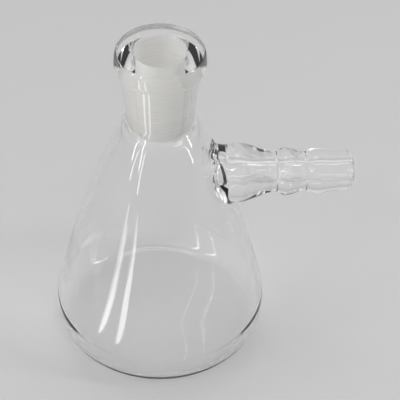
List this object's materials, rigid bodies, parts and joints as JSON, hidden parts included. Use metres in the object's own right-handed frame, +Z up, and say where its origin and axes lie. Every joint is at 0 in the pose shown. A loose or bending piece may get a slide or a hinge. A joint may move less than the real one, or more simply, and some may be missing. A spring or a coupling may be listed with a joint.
{
  "type": "buchner flask",
  "caption": "Conical vacuum filter flask in clear borosilicate glass, with a ground-joint neck and a serrated hose nozzle on its shoulder.",
  "frame": {"origin": "centre of the flat base, on the flask's axis", "axes": "+Z up the neck, +X along the hose nozzle"},
  "size_m": [0.0886, 0.064, 0.105],
  "materials": {
    "clear_glass": "clear, fire-polished borosilicate glass",
    "ground_glass": "clear glass with a finely ground, frosted bore"
  },
  "bodies": {
    "root": {"flask_body": "clear_glass", "neck_socket": "ground_glass", "hose_nozzle": "clear_glass"}
  },
  "joints": []
}
